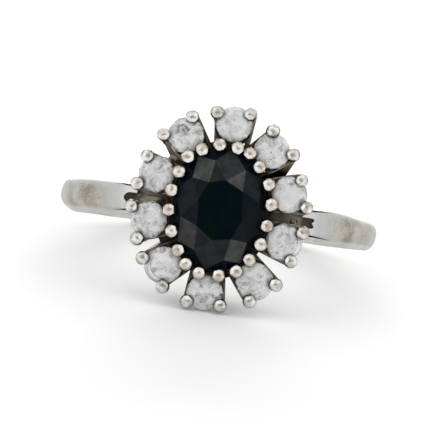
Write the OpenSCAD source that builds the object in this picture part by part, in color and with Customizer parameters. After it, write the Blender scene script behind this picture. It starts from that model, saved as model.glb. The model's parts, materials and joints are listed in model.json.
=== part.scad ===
/* [Shank] */
// Inside diameter of the shank, which is the finger size
finger_d = 17.6; // [17:0.1:19]
// Thickness of the shank from its flat inside to the top of its dome
shank_t = 1.6; // [1.5:0.05:1.8]
// Width of the shank at the sides of the finger
shank_w = 2.25; // [2.15:0.05:2.5]
// Width of the shank at the back of the finger
back_w = 1.8; // [1.7:0.05:2]
// Width of each shoulder where it meets the head
shoulder_w = 1.7; // [1.6:0.02:1.8]

/* [Sapphire] */
// Width of the sapphire across the finger
sapphire_w = 6; // [5.9:0.05:6.1]
// Length of the sapphire along the finger
sapphire_l = 8; // [7.9:0.05:8.1]
// Height of the sapphire's girdle above the finger
girdle_h = 4.6; // [4.5:0.05:5]

/* [Diamonds] */
// Diameter of each diamond
diamond_d = 2.35; // [2.3:0.01:2.4]
// Tilt of each diamond away from the sapphire, in degrees
diamond_tilt = 10; // [8:0.5:12]
// Width across the finger of the oval that the diamonds stand on
ring_w = 9; // [8.95:0.05:9.2]
// Length along the finger of the oval that the diamonds stand on
ring_l = 10.96; // [10.9:0.02:11.1]

/* [Claws] */
// Diameter of a claw's round tip
tip_d = 0.84; // [0.78:0.01:0.86]
// Diameter of a claw below its tip
claw_d = 0.68; // [0.6:0.01:0.7]
// Thickness of the flat side walls of a collet
wall_t = 0.3; // [0.25:0.01:0.35]

/* [Hidden] */

// The ten collets, clockwise from the top. Columns: angle of the stone on its oval, distance out of
// that oval in mm, angle that the collet faces, lean of the collet to its clockwise side in degrees,
// distance of its outer claws beyond the middle of the stone in mm.
ANGLE = 0;
OUT = 1;
FACING = 2;
LEAN = 3;
REACH = 4;
COLLETS = [
    [  86,  0.08,   87, -2, 0.65],
    [  54, -0.02,   38, -9, 0.82],
    [  18,  0.03,    7,  0, 0.88],
    [ -21,  0.02,  -14, -1, 0.85],
    [ -58, -0.11,  -48,  0, 0.98],
    [ -94, -0.08,  -92,  0, 0.82],
    [-129, -0.05, -146, -5, 0.88],
    [-166,  0,    -171,  0, 0.90],
    [ 156,  0.01,  167,  0, 0.88],
    [ 120,  0.05,  127,  5, 0.75]
];

// The head stands a little askew on the shank, turned anticlockwise by this many degrees.
head_turn = 1.9;

finger_r = finger_d / 2;
outer_r = finger_r + shank_t;
dome_r = 1.5;

// How far a cut runs past what it cuts, and the number of sides of round shapes
cut_over = 1;
round_fn = 96;
claw_fn = 32;

// Clearance all round each stone in its seat
stone_gap = 0.04;

// Cut of a stone, as shares of its width: table, crown, girdle and pavilion
TABLE = 0;
CROWN = 1;
GIRDLE = 2;
PAVILION = 3;
DIAMOND_CUT = [0.57, 0.15, 0.03, 0.42];
SAPPHIRE_CUT = [0.47, 0.18, 0.025, 0.42];
facet_count = 8;

// Where the star facets end: share of the crown's height, and bulge of the crown there. Where the
// lower facets end: share of the stone's width, and share of the straight line to the point.
star_end = 0.55;
star_bulge = 1.02;
lower_end = 0.25;
lower_bulge = 0.97;

// Distances across the finger where the shank narrows: at the back, and from the sides to the head
back_flat = 1.5;
back_start = 7.5;
taper_start = 9;

// The full thickness ends at this distance, in two horns with a round-ended slot between them. A thinner
// strap runs on to the head and ends under the gallery ring, at this share of the sapphire's oval.
shoulder_end = 5.4;
slot_r = 0.34;
slot_x = 5.86;
strap_t = 1;
strap_w = 1.4;
strap_x = 3.5;
strap_end = 0.94;

// Each shoulder has a narrow flute along both edges, which starts here and runs out to a point.
flute_x = 5.95;
flute_w = 0.13;
flute_l = 1.2;
flute_floor = 6.9;
rim_w = 0.05;

// Heights above the axis of the finger
gallery_z = finger_r + 0.2;
gallery_h = 1.1;
sapphire_z = finger_r + girdle_h;
diamond_drop = 0.25;
diamond_z = sapphire_z - diamond_drop;
collar_h = 0.8;
collar_drop = 0.2;

// The lower gallery ring and the collar under the sapphire, as shares of the sapphire's oval
gallery_out = 1.07;
gallery_in = 0.8;
collar_out = 1.04;
collar_foot = 0.98;
collar_in = 0.86;

// A collet in its own frame: x outwards, y to its anticlockwise side, z up from the girdle.
// Its two sides close towards the sapphire, and lean in towards the foot.
outer_claw_y = 1.02;
inner_claw_x = -1.36;
inner_claw_y = 0.585;
tip_z = 0.3;
side_lean = 4;
outer_claw_lean = 9;
outer_claw_l = 1.4;
inner_claw_l = 3.6;
foot_l = 0.6;
foot_d = 0.3;

// A side wall: how far it stands from the collet's middle at both ends, then its outline from the inner
// claw, which is its top edge and its sloping outer end down to its foot
wall_inner_y = 0.94;
wall_outer_y = 1.25;
wall_top = -0.4;
wall_in = -0.18;
wall_over = 0.15;
wall_end_z = -1.1;
wall_end_in = 0.1;
wall_foot_l = 1.05;
wall_foot_z = -3.9;

// The seat ring under a diamond
seat_top = 0.06;
seat_h = 0.6;
seat_in = 0.62;
seat_foot = 0.2;
seat_over = -0.02;

function outer_tip(i, side) = [COLLETS[i][REACH], side * outer_claw_y, tip_z];
function inner_tip(side) = [inner_claw_x, side * inner_claw_y, tip_z];

// A point of a collet's frame, moved into the frame of the ring
function tilted(p, lean) =
    let(a = [p.x, p.y * cos(lean) - p.z * sin(lean), p.y * sin(lean) + p.z * cos(lean)])
    [a.x * cos(diamond_tilt) + a.z * sin(diamond_tilt), a.y,
     a.z * cos(diamond_tilt) - a.x * sin(diamond_tilt)];
function turned(p, a) = [p.x * cos(a) - p.y * sin(a), p.x * sin(a) + p.y * cos(a), p.z];
function on_oval(w, l, a) =
    let(r = 1 / sqrt(pow(2 * cos(a) / w, 2) + pow(2 * sin(a) / l, 2)))
    [r * cos(a), r * sin(a)];
function collet_at(i) =
    let(c = COLLETS[i], p = on_oval(ring_w, ring_l, c[ANGLE]))
    [p.x + c[OUT] * cos(c[ANGLE]), p.y + c[OUT] * sin(c[ANGLE]), diamond_z];
function in_ring(i, p) =
    turned(collet_at(i) + turned(tilted(p, COLLETS[i][LEAN]), COLLETS[i][FACING]), head_turn);

// The ring lies on its side. It rests on the tips of the two outer claws of the lowest collet and on
// the edge of the shank's back, so the head looks a little upwards.
lowest = 5;
rest_claw = in_ring(lowest, outer_tip(lowest, 1));
back_edge_r = outer_r - dome_r + sqrt(pow(dome_r, 2) - pow(back_w / 2, 2));
rest_run = rest_claw.z + back_edge_r;
rest_drop = -rest_claw.y - back_w / 2;
rest_tilt = atan2(rest_drop, rest_run) + asin(tip_d / 2 / norm([rest_run, rest_drop]));
rest_height = back_edge_r * sin(rest_tilt) + back_w / 2 * cos(rest_tilt);
function reach(p) = p.z * cos(rest_tilt) - p.y * sin(rest_tilt);
head_reach = tip_d / 2 + max([
    for (i = [0 : len(COLLETS) - 1], side = [1, -1], p = [inner_tip(side), outer_tip(i, side)])
        reach(in_ring(i, p))]);
back_reach = (outer_r - dome_r) * cos(rest_tilt) + dome_r;
rest_shift = (head_reach - back_reach) / 2;

// Points of a brilliant cut with a given width, length and cut, girdle at z = 0
function cut_ring(n, turn, w, l, z) =
    [for (i = [0 : n - 1]) [w / 2 * cos(turn + i * 360 / n), l / 2 * sin(turn + i * 360 / n), z]];
function cut_points(w, l, cut) =
    let(n = facet_count, g = w * cut[GIRDLE] / 2, t = cut[TABLE], s = (1 + t) / 2 * star_bulge,
        c = w * cut[CROWN], p = w * cut[PAVILION], m = lower_end)
    concat(cut_ring(n, 0, w * t, l * t, g + c),
           cut_ring(n, 180 / n, w * s, l * s, g + c * star_end),
           cut_ring(2 * n, 0, w, l, g),
           cut_ring(2 * n, 0, w, l, -g),
           cut_ring(n, 0, w * m, l * m, -g - p * (1 - m) * lower_bulge),
           [[0, 0, -g - p]]);
function cut_faces(n) =
    let(table = 0, star = n, top = 2 * n, low = 4 * n, main = 6 * n, tip = 7 * n)
    concat(
        [[for (i = [n - 1 : -1 : 0]) table + i]],
        [for (i = [0 : n - 1]) let(j = (i + 1) % n) [table + i, table + j, star + i]],
        [for (i = [0 : n - 1]) [table + i, star + i, top + 2 * i]],
        [for (i = [0 : n - 1]) let(h = (i + n - 1) % n) [star + h, table + i, top + 2 * i]],
        [for (i = [0 : n - 1]) [star + i, top + 2 * i + 1, top + 2 * i]],
        [for (i = [0 : n - 1]) let(j = (i + 1) % n) [star + i, top + 2 * j, top + 2 * i + 1]],
        [for (i = [0 : 2 * n - 1]) let(j = (i + 1) % (2 * n)) [top + i, top + j, low + j, low + i]],
        [for (i = [0 : n - 1]) [low + 2 * i, low + 2 * i + 1, main + i]],
        [for (i = [0 : n - 1]) let(j = (i + 1) % n) [low + 2 * i + 1, low + 2 * j, main + j]],
        [for (i = [0 : n - 1]) let(j = (i + 1) % n) [low + 2 * i + 1, main + j, main + i]],
        [for (i = [0 : n - 1]) let(j = (i + 1) % n) [main + i, main + j, tip]]
    );

module brilliant(w, l, cut) {
    polyhedron(cut_points(w, l, cut), cut_faces(facet_count));
}

// The space that a round stone of width w takes in its seat
module seat_space(w, cut) {
    g = w * cut[GIRDLE] / 2 + stone_gap;
    r = w / 2 + stone_gap;
    rotate_extrude($fn = round_fn)
        polygon([[0, -g - w * cut[PAVILION]], [r, -g], [r, g],
                 [r * cut[TABLE], g + w * cut[CROWN]], [0, g + w * cut[CROWN]]]);
}

// A ring round the sapphire's oval, straight or flared
module oval_ring(out_foot, out_top, inside, h) {
    scale([sapphire_w / 2, sapphire_l / 2, 1])
        difference() {
            cylinder(r1 = out_foot, r2 = out_top, h = h, $fn = round_fn);
            translate([0, 0, -cut_over])
                cylinder(r = inside, h = h + 2 * cut_over, $fn = round_fn);
        }
}

// A claw from its pointed foot up to its ball tip, with the ball's middle at z = 0
module claw(l) {
    rotate_extrude($fn = claw_fn)
        polygon([[0, -l - foot_l], [foot_d / 2, -l - foot_l], [claw_d / 2, -l], [claw_d / 2, 0], [0, 0]]);
    sphere(tip_d / 2, $fn = claw_fn);
}

// One side of a collet: the flat wall, with the inner claw and the outer claw that close it
module collet_side(i) {
    across = outer_tip(i, 1) - inner_tip(1);
    run = norm(across);
    translate(inner_tip(1))
        rotate([0, 0, atan2(across.y, across.x)])
            rotate([-side_lean, 0, 0]) {
                claw(inner_claw_l - foot_l);
                translate([run, 0, 0])
                    rotate([0, outer_claw_lean, 0])
                        claw(outer_claw_l);
            }
    translate([inner_claw_x, wall_inner_y, tip_z])
        rotate([0, 0, atan2(wall_outer_y - wall_inner_y, across.x)])
            rotate([-side_lean, 0, 0])
                translate([0, wall_t / 2, 0])
                    rotate([90, 0, 0])
                        linear_extrude(wall_t)
                            polygon([[wall_in, wall_top], [across.x + wall_over, wall_top],
                                     [across.x - wall_end_in, wall_end_z], [wall_foot_l, wall_foot_z],
                                     [wall_in, wall_foot_z]]);
}

// A whole collet: its two sides and its seat ring
module collet(i) {
    for (side = [0, 1])
        mirror([0, side, 0])
            collet_side(i);
    translate([0, 0, -seat_top - seat_h])
        difference() {
            cylinder(r1 = diamond_d / 2 - seat_foot, r2 = diamond_d / 2 + seat_over, h = seat_h,
                     $fn = round_fn);
            translate([0, 0, -cut_over])
                cylinder(r = seat_in, h = seat_h + 2 * cut_over, $fn = round_fn);
        }
}

// Puts what stands at the origin where stone i stands
module place_stone(i) {
    translate(collet_at(i))
        rotate([0, 0, COLLETS[i][FACING]])
            rotate([0, diamond_tilt, 0])
                rotate([COLLETS[i][LEAN], 0, 0])
                    children();
}

// Everything over the shank, without the space of each stone
module head() {
    difference() {
        union() {
            for (i = [0 : len(COLLETS) - 1])
                place_stone(i)
                    collet(i);
            translate([0, 0, sapphire_z - collar_h])
                oval_ring(collar_foot, collar_out, collar_in, collar_h - collar_drop);
            translate([0, 0, gallery_z])
                oval_ring(gallery_out, gallery_out, gallery_in, gallery_h);
        }
        for (i = [0 : len(COLLETS) - 1])
            place_stone(i)
                seat_space(diamond_d, DIAMOND_CUT);
        translate([0, 0, sapphire_z])
            scale([1, sapphire_l / sapphire_w, 1])
                seat_space(sapphire_w, SAPPHIRE_CUT);
    }
}

// Half the width of the shoulder at distance x from the middle of the head
function shoulder_half(x) =
    shoulder_w / 2 + (shank_w - shoulder_w) / 2 * (x - shoulder_end) / (taper_start - shoulder_end);

// A shape given by half its width along x, mirrored to both sides and both ends
module four_fold(half) {
    for (sx = [1, -1])
        scale([sx, 1, 1])
            polygon(concat(half, [for (i = [len(half) - 1 : -1 : 0]) [half[i].x, -half[i].y]]));
}

// The shank seen from the head, and seen from the back of the finger
module head_plan() {
    four_fold([[0, strap_w / 2], [strap_x, strap_w / 2], [shoulder_end, shoulder_w / 2],
               [taper_start, shank_w / 2], [outer_r + cut_over, shank_w / 2]]);
}

module back_plan() {
    four_fold([[0, back_w / 2], [back_flat, back_w / 2], [back_start, shank_w / 2],
               [outer_r + cut_over, shank_w / 2]]);
}

module finger_cylinder(r) {
    rotate([90, 0, 0])
        cylinder(r = r, h = shank_w + 2 * cut_over, center = true, $fn = round_fn);
}

// The plain band, flat inside and domed outside
module domed_band() {
    rotate([90, 0, 0])
        rotate_extrude($fn = round_fn)
            intersection() {
                union() {
                    translate([outer_r - dome_r, 0])
                        circle(dome_r, $fn = round_fn);
                    translate([finger_r - cut_over, -shank_w / 2])
                        square([outer_r - dome_r - finger_r + cut_over, shank_w]);
                }
                translate([finger_r - cut_over, -shank_w / 2])
                    square([shank_t + cut_over, shank_w]);
            }
}

// What is cut from the band over the strap, with a round-ended slot into each shoulder
module strap_cut() {
    difference() {
        linear_extrude(outer_r + cut_over) {
            square([2 * shoulder_end, shank_w + cut_over], center = true);
            square([2 * slot_x, 2 * slot_r], center = true);
            for (sx = [1, -1])
                translate([sx * slot_x, 0])
                    circle(slot_r, $fn = round_fn);
        }
        finger_cylinder(finger_r + strap_t);
    }
}

module flutes() {
    tip_x = flute_x + flute_l;
    inner = [flute_x, shoulder_half(flute_x) - rim_w - flute_w];
    outer = [flute_x, shoulder_half(flute_x) - rim_w];
    tip = [tip_x, shoulder_half(tip_x) - rim_w - flute_w / 2];
    translate([0, 0, flute_floor])
        linear_extrude(outer_r)
            for (sx = [1, -1], sy = [1, -1])
                scale([sx, sy, 1])
                    polygon([inner, outer, tip]);
}

module shank() {
    difference() {
        intersection() {
            domed_band();
            union() {
                linear_extrude(outer_r + cut_over)
                    head_plan();
                translate([0, 0, -outer_r - cut_over])
                    linear_extrude(outer_r + cut_over)
                        back_plan();
            }
        }
        finger_cylinder(finger_r);
        strap_cut();
        flutes();
        scale([strap_end * sapphire_w / 2, strap_end * sapphire_l / 2, 1])
            cylinder(r = 1, h = outer_r + cut_over, $fn = round_fn);
    }
}

module shank_and_setting() {
    color([0.78, 0.76, 0.73]) {
        shank();
        rotate([0, 0, head_turn])
            head();
    }
}

// The stones
module sapphire() {
    color([0.02, 0.05, 0.09])
        rotate([0, 0, head_turn])
            translate([0, 0, sapphire_z])
                brilliant(sapphire_w, sapphire_l, SAPPHIRE_CUT);
}

module diamond(i) {
    color([0.88, 0.9, 0.92])
        rotate([0, 0, head_turn])
            place_stone(i)
                brilliant(diamond_d, diamond_d, DIAMOND_CUT);
}

// Lays the ring down, from its own frame into its pose of rest
module at_rest() {
    translate([0, rest_shift, rest_height])
        rotate([90 - rest_tilt, 0, 0])
            children();
}

at_rest() shank_and_setting();
at_rest() sapphire();
at_rest() diamond(0);  // diamond_01
at_rest() diamond(1);  // diamond_02
at_rest() diamond(2);  // diamond_03
at_rest() diamond(3);  // diamond_04
at_rest() diamond(4);  // diamond_05
at_rest() diamond(5);  // diamond_06
at_rest() diamond(6);  // diamond_07
at_rest() diamond(7);  // diamond_08
at_rest() diamond(8);  // diamond_09
at_rest() diamond(9);  // diamond_10
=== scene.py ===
import json
import math
import bpy
import numpy as np
from mathutils import Matrix


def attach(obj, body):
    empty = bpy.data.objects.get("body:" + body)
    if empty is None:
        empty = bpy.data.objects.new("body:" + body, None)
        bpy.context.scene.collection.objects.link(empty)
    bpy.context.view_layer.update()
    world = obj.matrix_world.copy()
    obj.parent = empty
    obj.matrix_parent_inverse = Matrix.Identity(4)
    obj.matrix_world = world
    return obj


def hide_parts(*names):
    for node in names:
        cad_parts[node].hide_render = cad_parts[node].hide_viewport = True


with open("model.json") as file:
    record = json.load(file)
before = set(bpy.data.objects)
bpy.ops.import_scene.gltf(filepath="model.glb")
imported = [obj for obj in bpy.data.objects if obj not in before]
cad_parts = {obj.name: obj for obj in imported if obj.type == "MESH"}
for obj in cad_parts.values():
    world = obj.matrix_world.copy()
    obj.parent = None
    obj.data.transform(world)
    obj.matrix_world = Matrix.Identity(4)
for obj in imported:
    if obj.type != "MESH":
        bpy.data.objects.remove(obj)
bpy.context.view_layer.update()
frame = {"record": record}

# THE SHANK
# A band of white gold wire, flat inside and domed outside, a little narrower at the back of the finger.
# It tapers to the head in two shoulders. Along each edge of a shoulder runs a narrow pierced flute, and
# the shoulder's end is filed hollow where it meets the head.
MM = 0.001
hole = frame["record"]["mounts"][0]
hole_centre = np.array(hole["pos_m"])
along_finger = np.array(hole["axis"])
across_finger = np.array([1.0, 0.0, 0.0])
out_to_head = np.array([0.0, -along_finger[2], along_finger[1]])


def lying(points):
    """The ring's own frame in mm, x across the finger, y along it and z out to the head, moved to the
    place where the ring lies: middle of the finger hole + x * across + y * along + z * out."""
    axes = np.stack([across_finger, along_finger, out_to_head])
    return hole_centre + points @ axes * MM


def outward(points, quads, caps=np.zeros((0, 3), int)):
    """A closed shell with its faces reversed if the volume that they enclose, the sum of a.(b x c)/6
    over its triangles, comes out negative."""
    thirds = points[np.vstack([quads[:, [0, 1, 2]], quads[:, [0, 2, 3]], caps])]
    if np.einsum("ij,ij->", thirds[:, 0], np.cross(thirds[:, 1], thirds[:, 2])) < 0:
        quads, caps = quads[:, ::-1], caps[:, ::-1]
    return points, quads.tolist() + caps.tolist()


def block(grid):
    """The skin of a box of points that was bent into shape: the quads of the six sides of the array."""
    index = np.arange(grid[..., 0].size).reshape(grid.shape[:3])
    sides = []
    for axis in range(3):
        layers = np.moveaxis(index, axis, 0)
        for side, order in ((layers[-1], 1), (layers[0], -1)):
            quads = np.stack([side[:-1, :-1], side[1:, :-1], side[1:, 1:], side[:-1, 1:]], axis=-1)
            sides.append(quads.reshape(-1, 4)[:, ::-order if axis == 1 else order])
    used, quads = np.unique(np.vstack(sides), return_inverse=True)
    return outward(grid.reshape(-1, 3)[used], quads.reshape(-1, 4))


def piece(name, shells, material, crease=35, stands_for="shank_and_setting"):
    """One object from closed shells in the ring's own frame. It shades smoothly, but edges sharper than the
    crease angle in degrees stay sharp, and with a crease of 0 every facet is flat. It stands in for the
    metal's CAD node, which it hides, unless another CAD node is given."""
    start, points, faces = 0, [], []
    for shell_points, shell_faces in shells:
        points.append(shell_points)
        faces += [[start + corner for corner in face] for face in shell_faces]
        start += len(shell_points)
    mesh = bpy.data.meshes.new(name)
    mesh.from_pydata(lying(np.vstack(points)), [], faces)
    mesh.polygons.foreach_set("use_smooth", np.full(len(mesh.polygons), crease > 0))
    if crease > 0:
        mesh.set_sharp_from_angle(angle=math.radians(crease))
    mesh.materials.append(material)
    made = bpy.data.objects.new(name, mesh)
    bpy.context.scene.collection.objects.link(made)
    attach(made, "root")
    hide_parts(stands_for)
    return made


def plug(tree, made, inputs):
    """Fills a node's inputs by name or number, with values or with sockets to link."""
    for key, value in inputs.items():
        if isinstance(value, bpy.types.NodeSocket):
            tree.links.new(value, made.inputs[key])
        else:
            made.inputs[key].default_value = value


def node(tree, kind, inputs=None, **settings):
    """A shader node with its settings and its inputs."""
    made = tree.nodes.new("ShaderNode" + kind)
    for name, value in settings.items():
        setattr(made, name, value)
    plug(tree, made, inputs or {})
    return made


def blank_material(name):
    """A node material with its shader, its output and the object's own coordinates."""
    material = bpy.data.materials.new(name)
    material.use_nodes = True
    tree = material.node_tree
    tree.nodes.clear()
    shader = node(tree, "BsdfPrincipled")
    node(tree, "OutputMaterial", {"Surface": shader.outputs[0]})
    return material, tree, shader, node(tree, "TexCoord").outputs["Object"]


def ramp(tree, factor, *stops):
    """A colour ramp over a factor, from (position, colour) stops."""
    made = node(tree, "ValToRGB", {"Fac": factor})
    marks = made.color_ramp.elements
    while len(marks) < len(stops):
        marks.new(0.5)
    for mark, (position, colour) in zip(marks, stops):
        mark.position = position
        mark.color = (*colour, 1.0)
    return made.outputs["Color"]


def cloud(tree, place, scale, detail=4.0):
    """Soft noise from 0 to 1, its blotches 1/scale metres across."""
    return node(tree, "TexNoise", {"Vector": place, "Scale": scale, "Detail": detail}).outputs["Fac"]


def band(tree, value, low, high, to_low=0.0, to_high=1.0):
    """A smooth step from one value to another as the input runs from low to high."""
    span = {"Value": value, "From Min": low, "From Max": high, "To Min": to_low, "To Max": to_high}
    return node(tree, "MapRange", span, interpolation_type="SMOOTHSTEP").outputs[0]


def maths(tree, operation, *values):
    """One step of arithmetic on numbers and sockets. MULTIPLY_ADD is first * second + third."""
    return node(tree, "Math", dict(enumerate(values)), operation=operation).outputs[0]


def times(tree, first, second):
    """The product of two numbers or sockets."""
    return maths(tree, "MULTIPLY", first, second)


def vectors(tree, operation, *values):
    """One step of arithmetic on vectors, which gives a vector, or a number where it measures one."""
    made = node(tree, "VectorMath", dict(enumerate(values)), operation=operation)
    return made.outputs["Value" if operation in ("DOT_PRODUCT", "LENGTH", "DISTANCE") else "Vector"]


def scaled(tree, vector, factor):
    """A vector or a colour times a number."""
    return node(tree, "VectorMath", {0: vector, "Scale": factor}, operation="SCALE").outputs[0]


def mixed(tree, factor, first, second):
    """The first colour where the factor is 0 and the second where it is 1."""
    return node(tree, "Mix", {0: factor, 6: first, 7: second}, data_type="RGBA").outputs[2]


def on_axes(tree, vector):
    """A vector's parts across the finger, along it and out: its dot products with the three axes."""
    return [vectors(tree, "DOT_PRODUCT", vector, tuple(axis))
            for axis in (across_finger, along_finger, out_to_head)]


def ring_frame(tree, place):
    """The ring's own frame in mm from the object's coordinates: across the finger, along it and out."""
    return on_axes(tree, scaled(tree, vectors(tree, "ADD", place, tuple(-hole_centre)), 1 / MM))


def looks(tree):
    """Which way the surface faces: the parts of its normal across the finger, along it and out."""
    return on_axes(tree, node(tree, "TexCoord").outputs["Normal"])


def as_metal(tree, shader, colour, rough, marks, strength, tint):
    """A bare metal surface from its colour, roughness and fine marks, with its tint at low angles."""
    bump = node(tree, "Bump", {"Strength": strength, "Distance": 0.00002, "Height": marks}).outputs[0]
    plug(tree, shader, {"Base Color": colour, "Roughness": rough, "Normal": bump, "Metallic": 1.0,
                        "Specular Tint": (*tint, 1.0)})


# Colours by the noise, and the mm or parts of the normal where each painted highlight, painted shade and
# painted reflection patch begins and is whole, with their strengths.
clean_gold = (0.38, (0.505, 0.51, 0.49)), (0.62, (0.60, 0.60, 0.58))
patch_reflection_gold = (0.42, (0.275, 0.247, 0.21)), (0.58, (0.54, 0.51, 0.45))
edge_highlight_span, edge_highlight = (0.84, 1.02), 1.22
shaded_upper_side, side_shade = (0.8, 0.97), 0.62
back_far, back_below, back_painted_light = (5.8, 7.8), (-1.0, 3.0), 0.1
horn_far, horn_above, horn_highlight = (5.8, 6.6), (6.0, 7.0), 0.25
patch_in, patch_out, patch_share = (7.6, 8.9), (10.8, 11.4), 0.5
patch_core_in, patch_core_out, patch_core_share = (8.6, 9.3), (9.8, 10.5), 0.42
patch_upper, patch_lower, patch_above = (0.65, 1.15), (-0.75, -0.4), (1.0, 4.0)


def worn_gold_with_painted_light():
    """White gold that was polished and then worn: soft cloudy changes of gloss, a fine grain and light
    scratches. Over this lies painted light: painted highlights towards the dome's edges and on the horns by
    the head, painted light on the back of the band, painted shade on the upper flat side, and on each side
    of the finger a darker brownish patch, a painted reflection, that stops short of the edges. Its limits
    are in mm across, along and out, and ragged by the noise."""
    material, tree, shader, place = blank_material("worn white gold with painted light")
    blotches = cloud(tree, place, 700.0, 5.0)
    grain = cloud(tree, place, 9000.0, 2.0)
    mottled = maths(tree, "MULTIPLY_ADD", grain, 0.35, times(tree, blotches, 0.65))
    clean = ramp(tree, mottled, *clean_gold)
    patch_reflection_colour = ramp(tree, mottled, *patch_reflection_gold)
    x, y, out = ring_frame(tree, place)
    far = maths(tree, "ABSOLUTE", x)
    off_middle = maths(tree, "MULTIPLY_ADD", grain, 0.12, maths(tree, "ABSOLUTE", y))
    # Painted highlight: the dome gets lighter towards its edges.
    edge = band(tree, off_middle, *edge_highlight_span, 1.0, edge_highlight)
    # Painted light on the back of the band, away from the head.
    back = times(tree, band(tree, far, *back_far, back_painted_light, 0.0), band(tree, out, *back_below, 1.0, 0.0))
    # Painted highlight on the shoulders' horns by the head.
    horns = times(tree, band(tree, far, *horn_far, horn_highlight, 0.0), band(tree, out, *horn_above))
    level = times(tree, edge, maths(tree, "ADD", maths(tree, "ADD", 1.0, horns), back))
    # Painted shade on the faces that look along the finger, the upper flat side.
    level = times(tree, level, band(tree, looks(tree)[1], *shaded_upper_side, 1.0, side_shade))
    # A darker brownish patch on each side of the finger, a painted reflection of the dim surroundings.
    side = maths(tree, "MULTIPLY_ADD", blotches, 1.5, maths(tree, "MULTIPLY_ADD", grain, 0.7, far))
    painted_light_share = times(tree, band(tree, side, *patch_in), band(tree, side, *patch_out, 1.0, 0.0))
    patch_core = times(tree, band(tree, side, *patch_core_in), band(tree, side, *patch_core_out, 1.0, 0.0))
    reach = maths(tree, "MULTIPLY_ADD", patch_core, patch_core_share, times(tree, painted_light_share, patch_share))
    ragged = maths(tree, "MULTIPLY_ADD", grain, 0.6, y)
    off_edge = times(tree, band(tree, ragged, *patch_upper, 1.0, 0.0), band(tree, ragged, *patch_lower))
    patch = times(tree, times(tree, reach, off_edge), band(tree, out, *patch_above))
    colour = scaled(tree, mixed(tree, patch, clean, patch_reflection_colour), level)
    rough = band(tree, blotches, 0.3, 0.7, 0.42, 0.55)
    drawn = node(tree, "Mapping", {"Vector": place, "Scale": (900.0, 900.0, 9000.0)}).outputs[0]
    marks = maths(tree, "ADD", cloud(tree, drawn, 1.0), grain)
    as_metal(tree, shader, colour, rough, marks, 0.3, (0.75, 0.73, 0.70))
    return material


finger_r, wire_t, dome_r, back_dome_r = 8.8, 1.6, 1.9, 1.5
outer_r = finger_r + wire_t
side_half, back_side_half, shoulder_half, back_half = 1.095, 1.125, 0.87, 0.95
taper_from, shoulder_end = 8.8, 5.4
back_to, back_from, back_flat = 9.0, 7.5, 1.5
slot_r, slot_x = 0.34, 5.86
right_slot_power, left_slot_power, right_tongue, left_tongue, tongue_w = 4, 2, 0.16, -0.04, 0.11
flute_start, flute_end_left, flute_end_right, flute_ramp = 5.95, 7.1, 7.8, 0.1
flute_w, flute_w_none, flute_depth, rim_w = 0.13, 0.02, 0.75, 0.05
worn_from, worn_over, worn_corner, worn_power = 7.8, 1.8, 0.5, 2.5
bent_at = [-10.4, -8.8, -6.5, -5.0, 5.0, 8.0, 10.4]
bent_by, bent_over = [-0.12, -0.03, 0.07, 0.07, 0.0, 0.0, -0.04], 0.7
dome_soft, inside_soft = 0.2, 0.1
slot_columns = np.array([0, 0.2, 0.4, 0.6, 0.75, 0.87, 0.96, 1.0, 1.02])
flute_columns = np.array([0.12, 0.5, 0.88])
rim_columns = np.array([0, 0.35, 0.65, 0.88, 1])
rounds = [(0, 0.05, 28), (0.05, 0.12, 16), (0.12, 0.88, 96), (0.88, 0.95, 16), (0.95, 1, 28)]


def shank_section(half, flute, rows, dome=dome_r):
    """y and radius of the section's points, rows from the dome down to the flat inside. The dome is the
    arc middle + sqrt(dome^2 - y^2), softened at its edges by a high power of y, and dips into a groove
    near each edge by the flute's share. Two columns stand close together at the slot's sides."""
    half, flute, dome = half[..., None], flute[..., None], np.asarray(dome)[..., None]
    width = flute_w * np.maximum(flute, flute_w_none)
    near = half - rim_w - flute_w / 2 - width / 2
    rim = half - near - width
    slot = slot_r * slot_columns + 0 * near
    crown = slot[..., -1:] + (near - slot[..., -1:]) * np.linspace(0, 1, 7)[1:]
    parts = [slot, crown, near + width * flute_columns, near + width + rim * rim_columns]
    y = np.concatenate(parts, axis=-1)
    deep = np.repeat([0.0, 0.0, 1.0, 0.0], [part.shape[-1] for part in parts])
    y = np.concatenate([-y[..., :0:-1], y], axis=-1)
    deep = np.concatenate([deep[:0:-1], deep])
    edge = np.abs(y / half) ** 8
    top = outer_r - dome + np.sqrt(dome**2 - y**2)
    top = top - dome_soft * edge - deep * flute_depth * np.minimum(2.5 * flute, 1)
    low = finger_r + inside_soft * edge
    level = np.linspace(0, 1, rows)[:, None]
    radius = top[..., None, :] * (1 - level) + low[..., None, :] * level
    return np.repeat(y[..., None, :], rows, axis=-2), radius


def shoulder_cut(y, power, tongue):
    """Distance x at which a shoulder ends: its straight horns, or between them the slot's round end
    (slot_r^power - y^power)^(1/power), less a small tongue left standing in the middle. The step from
    one to the other falls between the section's two close columns."""
    slot = slot_x + np.maximum(slot_r**power - np.abs(y) ** power, 0) ** (1 / power)
    slot = slot - tongue * np.exp(-((y / tongue_w) ** 2))
    return np.where(np.abs(y) < slot_r * 1.01, slot, shoulder_end)


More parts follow.
